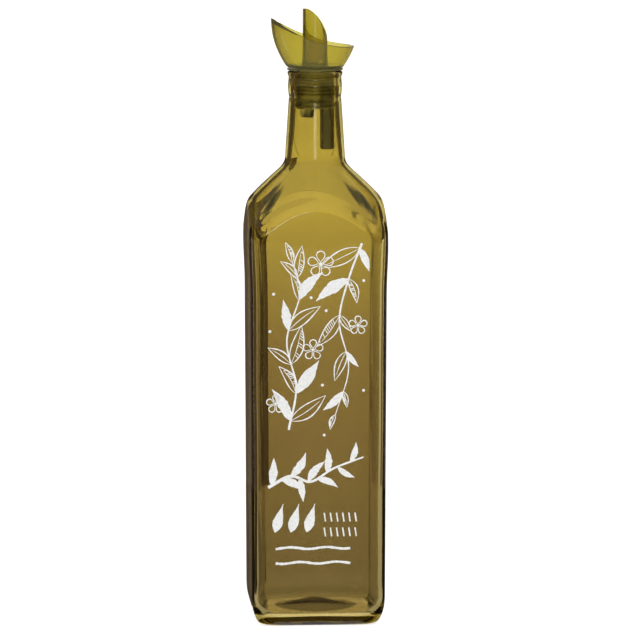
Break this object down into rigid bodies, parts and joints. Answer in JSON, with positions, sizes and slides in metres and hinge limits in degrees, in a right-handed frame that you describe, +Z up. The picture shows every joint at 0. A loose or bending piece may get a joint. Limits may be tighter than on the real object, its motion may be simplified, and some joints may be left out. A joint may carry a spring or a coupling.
{
  "type": "glass oil bottle",
  "caption": "Square olive-tinted glass bottle with a sloping shoulder, a round neck and a plastic drip-cup pourer, printed in white on its front.",
  "frame": {"origin": "middle of the bottle's foot, at the height of the surface it stands on", "axes": "+Z up along the bottle's axis, -Y out of the printed front face, -X towards the pourer's high lip"},
  "size_m": [0.0746, 0.0746, 0.3297],
  "materials": {
    "olive_glass": "clear olive-tinted glass, smooth",
    "cup_plastic": "translucent yellow-green moulded plastic, smooth",
    "plug_plastic": "translucent yellow-green moulded plastic, seen through the neck",
    "white_print": "opaque white screen-printed ink"
  },
  "bodies": {
    "root": {"bottle": "olive_glass", "pourer_cup": "cup_plastic", "pourer_plug": "plug_plastic"}
  },
  "joints": []
}
